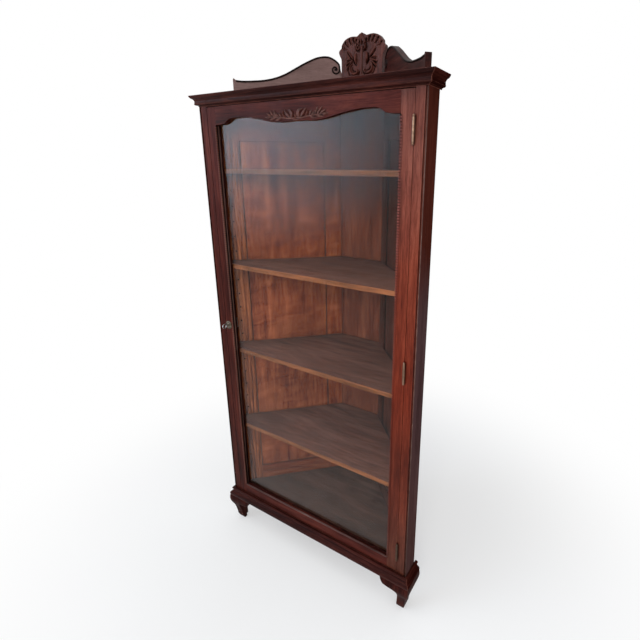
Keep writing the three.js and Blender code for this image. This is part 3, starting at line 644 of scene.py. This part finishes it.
def profile(kind, share):
    """Height shares of a cut leaf or stem across its half width."""
    if kind in (ROUND, GOUGE):
        return np.sqrt(np.clip(1 - share ** 2, 0, None))
    if kind == RIDGE:
        return np.clip(1 - share, 0, None) ** 0.75
    return (0.4 + 0.6 * share ** 2) * np.clip((1 - share) * 5, 0, 1) ** 0.5


def relief_height(drawing, a, b, sunk, sunk_reach=9.0):
    """The carving's height at many points: its strokes, and a ground that is cut back round them."""
    top = np.full(len(a), UNCARVED)
    cut = np.zeros(len(a))
    near = np.full(len(a), FAR)
    for points, widths, heights, kind in drawing:
        path = smooth_path(points, CURVE_STEPS) if len(points) < DRAWN_POINTS else np.asarray(points, float)
        width = along_path(widths, len(path)) / 2
        height = along_path(heights, len(path))
        margin = width.max() + sunk_reach + 1
        low, high = path.min(axis=0) - margin, path.max(axis=0) + margin
        pick = np.nonzero((a > low[0]) & (a < high[0]) & (b > low[1]) & (b < high[1]))[0]
        here = np.column_stack([a[pick], b[pick]])
        for i in range(len(path) - 1):
            way = path[i + 1] - path[i]
            t = np.clip((here - path[i]) @ way / max(way @ way, 1e-9), 0, 1)
            distance = np.linalg.norm(here - path[i] - t[:, None] * way, axis=1)
            half = width[i] + t * (width[i + 1] - width[i])
            shape = profile(kind, np.minimum(distance / half, 1))
            rise = (height[i] + t * (height[i + 1] - height[i])) * shape
            inside = distance < half
            if kind == GOUGE:
                cut[pick] = np.where(inside, np.maximum(cut[pick], rise), cut[pick])
                continue
            top[pick] = np.where(inside, np.maximum(top[pick], rise), top[pick])
            near[pick] = np.minimum(near[pick], distance - half)
    fade = np.clip(1 - (near - FLAT_GROUND) / (sunk_reach - FLAT_GROUND), 0, 1)
    ground = -sunk * fade * fade * (3 - 2 * fade)
    return np.where(top > UNCARVED, np.maximum(top, ground), ground - cut)


def stroke(face, path, widths, heights, sink=0.5, count=9):
    """One round stroke along a path, as vertices and faces of a closed body on a relief face."""
    width = along_path(widths, len(path))
    height = along_path(heights, len(path))
    heading = headings(path)
    normal = np.column_stack([-heading[:, 1], heading[:, 0]])
    angles = np.linspace(0, math.pi, count)
    verts, faces = [], []
    ring = count + 2
    for p, n, w, h in zip(path, normal, width, height):
        for x, y in zip(np.cos(angles), np.sin(angles)):
            verts.append(face.point(*(p + n * x * w / 2), h * y))
        verts.append(face.point(*(p - n * w / 2), -sink))
        verts.append(face.point(*(p + n * w / 2), -sink))
    for i in range(len(path) - 1):
        for k in range(ring):
            a, b = i * ring + k, i * ring + (k + 1) % ring
            faces.append((a, b, b + ring, a + ring))
    faces.append(tuple(range(ring))[::-1])
    faces.append(tuple((len(path) - 1) * ring + k for k in range(ring)))
    return verts, faces


def both_sides(half):
    """A drawn half and its mirror image."""
    return [([(sign * x, y) for x, y in points], widths, heights, kind)
            for sign in (1, -1) for points, widths, heights, kind in half]


# A carved board's front: its depth in voxels and the least share by which it looks forward
FRONT_DEPTH, FRONT_SHARE = 0.8, 0.8


def carved_board(name, base_node, face, drawing, mat, voxel, sunk):
    """A copy of a board with a dense skin, its front cut to a relief."""
    mesh = NODES[base_node].data.copy()
    obj = bpy.data.objects.new(name, mesh)
    bpy.context.scene.collection.objects.link(obj)
    remesh = obj.modifiers.new("remesh", "REMESH")
    remesh.mode = "VOXEL"
    remesh.voxel_size = voxel
    graph = bpy.context.evaluated_depsgraph_get()
    made = bpy.data.meshes.new_from_object(obj.evaluated_get(graph))
    obj.modifiers.clear()
    obj.data = made
    made.name = name
    points = np.empty(len(made.vertices) * 3)
    made.vertices.foreach_get("co", points)
    points = points.reshape(-1, 3)
    normals = np.empty(len(made.vertices) * 3)
    made.vertices.foreach_get("normal", normals)
    a = (points[:, 0] / MM) * face.along[0]
    b = points[:, 2] / MM - face.origin[2]
    depth = points[:, 1] / MM + ORIGIN_Y - face.origin[1]
    front = (depth < voxel / MM * FRONT_DEPTH) & (normals.reshape(-1, 3)[:, 1] < -FRONT_SHARE)
    points[front, 1] = (face.origin[1] - relief_height(drawing, a[front], b[front], sunk) - ORIGIN_Y) * MM
    made.vertices.foreach_set("co", points.ravel())
    made.materials.clear()
    made.materials.append(mat)
    made.polygons.foreach_set("use_smooth", [True] * len(made.polygons))
    return obj


# How deep and how far out the spray's ground is cut back, in millimetres
SPRAY_SUNK, SPRAY_SUNK_REACH = 1.2, 4.5
# The least height that is carved, and the rows and columns kept round it
SPRAY_LOWEST = 0.05
SPRAY_RIM = range(-2, 3)


def carved_spray(name, face, drawing, mat, low, high, step):
    """A relief on its own, that stands on a flat face and reaches just under it round its rim."""
    columns = int((high[0] - low[0]) / step) + 1
    rows = int((high[1] - low[1]) / step) + 1
    a, b = np.meshgrid(np.linspace(low[0], high[0], columns), np.linspace(low[1], high[1], rows))
    rise = relief_height(drawing, a.ravel(), b.ravel(), SPRAY_SUNK, SPRAY_SUNK_REACH).reshape(rows, columns)
    raised = rise > SPRAY_LOWEST
    kept = np.zeros((rows, columns), bool)
    for i in SPRAY_RIM:
        for j in SPRAY_RIM:
            kept |= np.roll(np.roll(raised, i, 0), j, 1)
    index = -np.ones((rows, columns), int)
    index[kept] = np.arange(kept.sum())
    verts = [face.point(x, y, h) for x, y, h in zip(a[kept], b[kept], rise[kept])]
    faces = []
    for r in range(rows - 1):
        for c in range(columns - 1):
            corners = (index[r, c], index[r, c + 1], index[r + 1, c + 1], index[r + 1, c])
            if min(corners) >= 0:
                faces.append(corners)
    return add_mesh(name, verts, faces, mat)


# Carving on the crest

CREST_Y = 396.0
TOP_Z = 1888.0
CREST_FACE = Relief((0.0, CREST_Y, TOP_Z), (1, 0, 0), (0, -1, 0))


def crest_drawing():
    """Strokes as points from the foot of the middle, widths and heights in millimetres and a section."""
    half = []
    # Cuts of the shell under the rounded top, with a petal beside each
    for (a, b), (c, d), width in (((87, 196), (70, 186), 7), ((72, 210), (60, 193), 8),
                                  ((55, 218), (47, 199), 8), ((37, 219), (33, 201), 8),
                                  ((22, 214), (22, 200), 6)):
        half.append(([(a, b), ((a + c) / 2 - 2, (b + d) / 2), (c, d)], (width, width, 2.5), (6, 6, 2), GOUGE))
        half.append(([(a - 8, b + 1), (a - 9, b - 7), (c - 5, d + 1)], (7, 7, 2), (3.5, 4, 1), RIDGE))
    # Leaf under the peak, and the eye that it curls to
    half.append(([(4, 222), (9, 212), (14, 204), (12, 196)], (6, 9, 9, 5), (6, 8, 8, 6), HOLLOW))
    half.append((spiral((11, 185), 8, 2.5, 70, -300), (5.5, 5.5, 5, 4), (7, 7.5, 7.5, 7), ROUND))
    half.append(([(20, 199), (23, 188), (19, 176), (8, 172)], (5, 6, 6, 4), (5, 5, 5, 3), GOUGE))
    # Leaf that points up and out
    half.append(([(36, 150), (44, 160), (52, 170), (60, 182)], (4, 9, 8, 1.5), (5, 7, 6, 2), RIDGE))
    half.append(([(43, 150), (50, 160), (58, 170), (64, 178)], (3, 5, 5, 2), (4, 5.5, 5, 2), GOUGE))
    # Bud
    half.append(([(23, 167), (25, 158), (25, 147), (22, 133)], (4, 11, 12, 4), (6, 8.5, 9, 5), ROUND))
    half.append(([(30, 163), (34, 150), (31, 138), (22, 127)], (3, 5, 6, 4), (4, 5.5, 5.5, 4), GOUGE))
    # Fronds beside the bud
    for tip, bend, low in (((66, 148), (54, 151), (60, 143)), ((70, 132), (58, 138), (60, 131)),
                           ((68, 117), (58, 126), (58, 118))):
        half.append(([(38, 145), bend, tip], (4, 8, 1.5), (5, 7, 2.5), RIDGE))
        half.append(([(44, 140), low, (tip[0] - 3, tip[1] - 6)], (3, 5, 2), (4, 5, 2), GOUGE))
    # Scroll at the foot
    hook = [(16, 112), (15, 105), (21, 99), (32, 98), (43, 103), (49, 114), (48, 126), (41, 132)]
    half.append((smooth_path(hook, CURVE_STEPS), (5, 7, 7.5, 7.5, 6, 4), (7, 8, 8.5, 8, 7, 5), ROUND))
    half.append(([(8, 106), (15, 92), (32, 88), (49, 94), (58, 108), (57, 120)], (3, 5, 5, 5, 5, 2),
                 (3, 5.5, 5.5, 5.5, 5, 2), GOUGE))
    half.append(([(24, 106), (33, 108), (39, 116), (37, 124)], (3, 6, 6, 2), (3, 5, 5, 2), GOUGE))
    drawing = both_sides(half)
    drawing.append(([(0, 232), (0, 221), (0, 209), (0, 197)], (4, 10, 10, 4), (6, 9, 9, 6), RIDGE))
    drawing.append(([(0, 186), (0, 160), (0, 124), (0, 92)], (9, 12, 14, 6), (3, 3.4, 3.4, 1.5), ROUND))
    return drawing


crest = carved_board("crest_carved", "crest", CREST_FACE, crest_drawing(), wood_carved, voxel=0.0011,
                     sunk=0.8)
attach(crest, "carcass")
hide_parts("crest")


# Leaf spray on the door's top rail

SPRAY_Z = 1783.0
DOOR_FACE = Relief((0.0, 0.0, SPRAY_Z), (1, 0, 0), (0, -1, 0))


def spray_drawing():
    """The spray's strokes, given in the same way."""
    half = [([(6, 10), (24, 9), (44, 12), (70, 14), (96, 16), (116, 20)], (4, 4.5, 4.5, 4, 3, 2),
             (3.5, 4.5, 4.5, 4.2, 3.4, 2), ROUND)]
    # Open bud beside the middle
    half.append(([(16, 10), (13, 20), (17, 30), (27, 35)], (5, 10, 9, 3), (6, 9.5, 9.5, 4), HOLLOW))
    half.append(([(24, 12), (30, 20), (36, 26), (42, 36)], (4, 8, 7, 2), (6, 9.5, 8.5, 4), HOLLOW))
    half.append(([(40, 12), (46, 17), (50, 24), (50, 32)], (4, 7, 6, 2), (6, 8.5, 8, 4), RIDGE))
    # Fans of leaves towards the ends
    for root, bend, tip, width in (((56, 13), (62, 21), (66, 31), 7), ((64, 13), (74, 20), (82, 29), 8),
                                   ((78, 14), (84, 24), (88, 38), 7), ((86, 15), (96, 25), (106, 37), 7),
                                   ((98, 17), (108, 22), (120, 29), 7), ((106, 17), (116, 16), (128, 18), 6),
                                   ((60, 12), (72, 8), (86, 6), 6), ((86, 13), (98, 10), (110, 9), 6)):
        half.append(([root, bend, tip], (3, width, 1.5), (5, 9.2, 3), HOLLOW))
    drawing = both_sides(half)
    drawing.append(([(0, 6), (0, 16), (0, 26)], (4, 9, 2), (4, 7.2, 3), RIDGE))
    drawing.append(([(-12, 8), (-2, 4), (10, 5)], (3, 6, 2), (3.5, 5.6, 2), RIDGE))
    return drawing


spray = carved_spray("door_spray", DOOR_FACE, spray_drawing(), wood_leaf, low=(-134.0, 1.0),
                     high=(134.0, 43.0), step=0.7)
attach(spray, "door")
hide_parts("door_carving")


# Rim beads and volutes on the gallery boards

# The board's upper edge as shares of its run along the wall and of its rise
GALLERY_EDGE = [
    (0.028, 0.398), (0.09, 0.392), (0.2, 0.411), (0.285, 0.437), (0.377, 0.492), (0.47, 0.585), (0.56, 0.71),
    (0.655, 0.841), (0.75, 0.951), (0.812, 0.991), (0.852, 1), (0.89, 0.99), (0.935, 0.942), (0.965, 0.888),
    (0.983, 0.831), (0.987, 0.761),
]
GALLERY_RUN = 293.0 * math.sqrt(2)
GALLERY_RISE = 165.0
GALLERY_FRONT = 388.0
INNER_HALF = 433.0
WALL_START_Y = 67.0
EDGE_STEPS = 4
RIM_INSET = 3.2
RIM_WIDTHS, RIM_HEIGHTS = (6.5, 6.5, 6.5, 6, 5), (3.2, 3.2, 3.2, 3.4, 3.4)
VOLUTE_RADIUS, VOLUTE_END, VOLUTE_DROP = 17.0, 4.5, 5.0
# The rim's last points, that the volute takes over
RIM_OVERLAP = 4
EYE_WIDTH, EYE_HEIGHT = 6, 4.2


def gallery_rim(side):
    sign = 1 if side == "right" else -1
    start = (sign * GALLERY_FRONT, WALL_START_Y + (INNER_HALF - GALLERY_FRONT), TOP_Z)
    flat = Relief(start, (-sign * SLANT, SLANT, 0), (-sign * SLANT, -SLANT, 0))
    edge = smooth_path([(a * GALLERY_RUN, b * GALLERY_RISE) for a, b in GALLERY_EDGE], EDGE_STEPS)
    heading = headings(edge)
    line = edge + np.column_stack([heading[:, 1], -heading[:, 0]]) * RIM_INSET
    centre = (line[-1][0] - VOLUTE_RADIUS, line[-1][1] - VOLUTE_DROP)
    volute = spiral(centre, VOLUTE_RADIUS, VOLUTE_END, first=10, last=-400, count=40)
    rim = stroke(flat, np.vstack([line[:-RIM_OVERLAP], volute]), RIM_WIDTHS, RIM_HEIGHTS)
    curl = spiral(centre, start=2.0, end=1.0, first=0, last=300, count=8)
    eye = stroke(flat, curl, (EYE_WIDTH, EYE_WIDTH), (EYE_HEIGHT, EYE_HEIGHT))
    obj = add_mesh(f"gallery_rim_{side}", *gather([rim, eye]), wood_black)
    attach(obj, "carcass")


gallery_rim("left")
gallery_rim("right")


# Pearl strings, fillets, thin beads, seams and rear pins

def pearl_string(x, y, low, high, pitch, radii, turns=12, rows=7):
    """Egg-shaped beads in a row, along one stile of the door."""
    verts, faces = [], []
    count = int((high - low) // pitch)
    step = (high - low) / count
    wide, deep, tall = radii
    for i in range(count):
        z = low + (i + 0.5) * step
        first = len(verts)
        verts.append(place(x, y, z - tall))
        for row in range(1, rows):
            angle = math.pi * row / rows
            for turn in range(turns):
                around = 2 * math.pi * turn / turns
                verts.append(place(x + wide * math.sin(angle) * math.cos(around),
                                   y + deep * math.sin(angle) * math.sin(around), z - tall * math.cos(angle)))
        verts.append(place(x, y, z + tall))
        last = len(verts) - 1
        for turn in range(turns):
            after = (turn + 1) % turns
            faces.append((first, first + 1 + after, first + 1 + turn))
            faces.append((last, last - turns + turn, last - turns + after))
            for row in range(rows - 2):
                a, b = (first + 1 + row * turns + each for each in (turn, after))
                faces.append((a, b, b + turns, a + turns))
    return verts, faces


def rod(start, end, radius, sides=12):
    """A plain round rod between two points, in millimetres."""
    a, b = np.array(start, float), np.array(end, float)
    way = (b - a) / np.linalg.norm(b - a)
    side = np.cross(way, [0.0, 1.0, 0.0])
    if np.linalg.norm(side) < 1e-6:
        side = np.array([1.0, 0.0, 0.0])
    side /= np.linalg.norm(side)
    other = np.cross(way, side)
    verts, faces = [], []
    for end_point in (a, b):
        for k in range(sides):
            angle = 2 * math.pi * k / sides
            verts.append(place(*(end_point + radius * (side * math.cos(angle) + other * math.sin(angle)))))
    for k in range(sides):
        n = (k + 1) % sides
        faces.append((k, n, n + sides, k + sides))
    faces.append(tuple(range(sides))[::-1])
    faces.append(tuple(range(sides, 2 * sides)))
    return verts, faces


def upright(x, y, span, radius):
    """A rod that stands between two heights."""
    return rod((x, y, span[0]), (x, y, span[1]), radius)


def fitted(name, parts, mat, body):
    obj = add_mesh(name, *gather(parts), mat)
    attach(obj, body)


# Half the width between the door's stiles, and the heights of its opening
EDGE_X = 372.0
OPENING = (223.5, 1784.0)
PEARL_OUT, PEARL_Y = 2.1, -0.4
PEARL_LOW, PEARL_HIGH, PEARL_PITCH = 226.0, 1782.0, 8.4
PEARL_RADII = (4.6, 3.0, 2.8)
SHADOW_ROD_Y, SHADOW_ROD_RADIUS = 3.4, 4.0
FILLET_IN, FILLET_Y, FILLET_RADIUS = 1.4, 9.6, 1.9
CORNER_X, CORNER_Y, CORNER_RADIUS = 451.2, 0.6, 1.5
CORNER_SPAN = (175.0, 1849.0)
for side, sign in (("left", -1), ("right", 1)):
    x = sign * (EDGE_X + PEARL_OUT)
    fitted(f"door_pearls_{side}", [pearl_string(x, PEARL_Y, PEARL_LOW, PEARL_HIGH, PEARL_PITCH, PEARL_RADII)],
           wood_pearl[side], "door")
    # A black rod behind the pearls: painted shade in the gaps between them
    fitted(f"door_pearl_bed_{side}", [upright(x, SHADOW_ROD_Y, OPENING, SHADOW_ROD_RADIUS)], wood_black, "door")
    # The left fillet is pale, a painted highlight; the right one is red with strong painted shade
    fitted(f"door_fillet_{side}", [upright(sign * (EDGE_X - FILLET_IN), FILLET_Y, OPENING, FILLET_RADIUS)],
           wood_fillet if side == "right" else wood_highlight_line, "door")
    # The right corner bead is pale: a painted highlight along the corner
    fitted(f"corner_bead_{side}", [upright(sign * CORNER_X, CORNER_Y, CORNER_SPAN, CORNER_RADIUS)],
           wood_highlight_line if side == "right" else wood_brown_z, "carcass")
# The bottom rail's bead is pale: a painted highlight along the rail's top edge
RAIL_BEAD_ENDS = ((-370.0, 1.0, 222.9), (370.0, 1.0, 222.9))
RAIL_BEAD_RADIUS = 3.2
fitted("door_bottom_bead", [rod(*RAIL_BEAD_ENDS, RAIL_BEAD_RADIUS, sides=14)], wood_highlight_x, "door")


def wall_point(sign, along, out):
    """A point on a slanted wall, some way along its inner face from the side board and out through it."""
    step, push = along * SLANT, out * SLANT
    return sign * (INNER_HALF - step + push), WALL_START_Y + step + push


WALL_STILE = 70.0
WALL_LENGTH = 334.0 * math.sqrt(2)
WALL_SPAN = (175.0, 1868.0)
HALF_JOINT = 0.15
SEAM_DEPTH, SEAM_RADIUS = 2.9, 2.3
for side, sign in (("left", -1), ("right", 1)):
    seams = []
    for along in (WALL_STILE + HALF_JOINT, WALL_LENGTH - WALL_STILE - HALF_JOINT):
        seams.append(upright(*wall_point(sign, along, SEAM_DEPTH), WALL_SPAN, SEAM_RADIUS))
    fitted(f"wall_seams_{side}", seams, wood_black, "carcass")

SHELF_UNDERSIDES = (520.1, 886.1, 1252.1, 1618.1)
PIN_RADIUS, PIN_DROP = 3.1, 3.3
# A pin's ends: in the wall, and in front of its inner face
PIN_ENDS = (2.0, -9.0)
for side, sign in (("left", -1), ("right", 1)):
    pins = []
    for underside in SHELF_UNDERSIDES:
        along, z = WALL_LENGTH - WALL_STILE / 2, underside - PIN_DROP
        pins.append(rod(*[(*wall_point(sign, along, out), z) for out in PIN_ENDS], PIN_RADIUS))
    rear = add_mesh(f"rear_pins_{side}", *gather(pins), brass)
    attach(rear, "carcass")


# Floor, light and camera

def seen_rays(tree):
    """1 for the rays of the camera, and for those that it sees in metal or through glass."""
    path = node(tree, "LightPath").outputs
    rays = math_node(tree, "MAXIMUM", path["Is Camera Ray"], path["Is Glossy Ray"])
    return math_node(tree, "MAXIMUM", rays, path["Is Transmission Ray"])


FLOOR_REACH, FLOOR_RINGS, FLOOR_TURNS = 12.0, 8, 48


def stage_floor():
    """A pale floor whose far parts are seen as plain white. Its light and shadow stay its own."""
    mat, tree = new_material("studio_floor")
    shader = node(tree, "BsdfPrincipled", in_Roughness=0.9, in_Specular_IOR_Level=0.1)
    where = node(tree, "TexCoord").outputs["Object"]
    cloud = noise(tree, where, 1.2, 3.0, 0.5)
    tree.links.new(ramp(tree, cloud, [(0.3, grey(0.9)), (0.7, grey(0.92))]), shader.inputs["Base Color"])
    length = node(tree, "VectorMath", operation="LENGTH")
    tree.links.new(where, length.inputs[0])
    far = node(tree, "MapRange", interpolation_type="SMOOTHERSTEP", in_From_Min=0.45, in_From_Max=1.9,
               in_To_Min=0.35)
    tree.links.new(length.outputs["Value"], far.inputs["Value"])
    whitened = product(tree, seen_rays(tree), far.outputs["Result"])
    white = node(tree, "Emission")
    finish_material(tree, mix_shader(tree, whitened, shader.outputs["BSDF"], white.outputs["Emission"]))
    verts, faces = [(0.0, 0.0, 0.0)], []
    for ring in range(1, FLOOR_RINGS + 1):
        radius = FLOOR_REACH * ring / FLOOR_RINGS
        for turn in range(FLOOR_TURNS):
            angle = 2 * math.pi * turn / FLOOR_TURNS
            verts.append((radius * math.cos(angle), radius * math.sin(angle), 0.0))
    for turn in range(FLOOR_TURNS):
        after = (turn + 1) % FLOOR_TURNS
        faces.append((0, 1 + turn, 1 + after))
        for ring in range(FLOOR_RINGS - 1):
            a, b = 1 + ring * FLOOR_TURNS, 1 + (ring + 1) * FLOOR_TURNS
            faces.append((a + turn, b + turn, b + after, a + after))
    add_mesh("studio_floor", verts, faces, mat)


def area_light(name, where, aim, size, power, colour=(1.0, 1.0, 1.0), spread=180.0):
    data = bpy.data.lights.new(name, "AREA")
    data.shape = "RECTANGLE"
    data.size, data.size_y = size
    data.energy = power
    data.color = colour
    data.spread = math.radians(spread)
    obj = bpy.data.objects.new(name, data)
    obj.location = where
    obj.rotation_mode = "QUATERNION"
    obj.rotation_quaternion = (Vector(aim) - Vector(where)).to_track_quat("-Z", "Y")
    bpy.context.scene.collection.objects.link(obj)


def studio_world(light):
    """Soft light from all round, in front of a white backdrop."""
    world = bpy.data.worlds.new("studio")
    bpy.context.scene.world = world
    world.use_nodes = True
    tree = world.node_tree
    tree.nodes.clear()
    soft = node(tree, "Background", in_Color=(0.97, 0.985, 1.0, 1), in_Strength=light)
    white = node(tree, "Background", in_Color=(1, 1, 1, 1))
    backdrop = mix_shader(tree, seen_rays(tree), soft.outputs["Background"], white.outputs["Background"])
    tree.links.new(backdrop, node(tree, "OutputWorld").inputs["Surface"])


def photo_camera():
    """The photograph's camera: lens and centre in its pixels, place in millimetres, angles in degrees."""
    focal, centre_x, centre_y, side = 426.972, 362.136, 298.711, 640.0
    x, y, z = 945.935, -1138.601, 1641.745
    yaw, pitch, roll = (math.radians(v) for v in (-31.339, 16.999, -0.435))
    forward = Vector((math.sin(yaw) * math.cos(pitch), math.cos(yaw) * math.cos(pitch), -math.sin(pitch)))
    right = Vector((math.cos(yaw), -math.sin(yaw), 0.0))
    down = forward.cross(right)
    turned = math.cos(roll) * right + math.sin(roll) * down
    below = -math.sin(roll) * right + math.cos(roll) * down
    data = bpy.data.cameras.new("camera")
    data.sensor_fit = "HORIZONTAL"
    data.sensor_width = 36.0
    data.lens = focal / side * data.sensor_width
    data.shift_x = (side / 2 - centre_x) / side
    data.shift_y = (centre_y - side / 2) / side
    data.clip_start = 0.05
    data.clip_end = 60.0
    camera = bpy.data.objects.new("camera", data)
    rows = Matrix((turned, -below, -forward)).transposed()
    camera.matrix_world = Matrix.Translation(place(x, y, z)) @ rows.to_4x4()
    bpy.context.scene.collection.objects.link(camera)
    bpy.context.scene.camera = camera


stage_floor()
studio_world(light=0.65)
area_light("key", (1.7, -3.3, 2.7), aim=(0.0, 0.0, 1.1), size=(1.6, 1.6), power=60.0,
           colour=(1.0, 0.985, 0.96))
area_light("window", (-1.9, -2.2, 2.45), aim=(0.946, 0.97, 1.64), size=(3.6, 4.2), power=20.0,
           colour=(0.68, 0.82, 1.0), spread=42.0)
area_light("top", (-0.9, -1.6, 4.2), aim=(0.0, 0.0, 1.2), size=(2.2, 2.2), power=30.0)
photo_camera()
bpy.context.scene.view_settings.view_transform = "Standard"
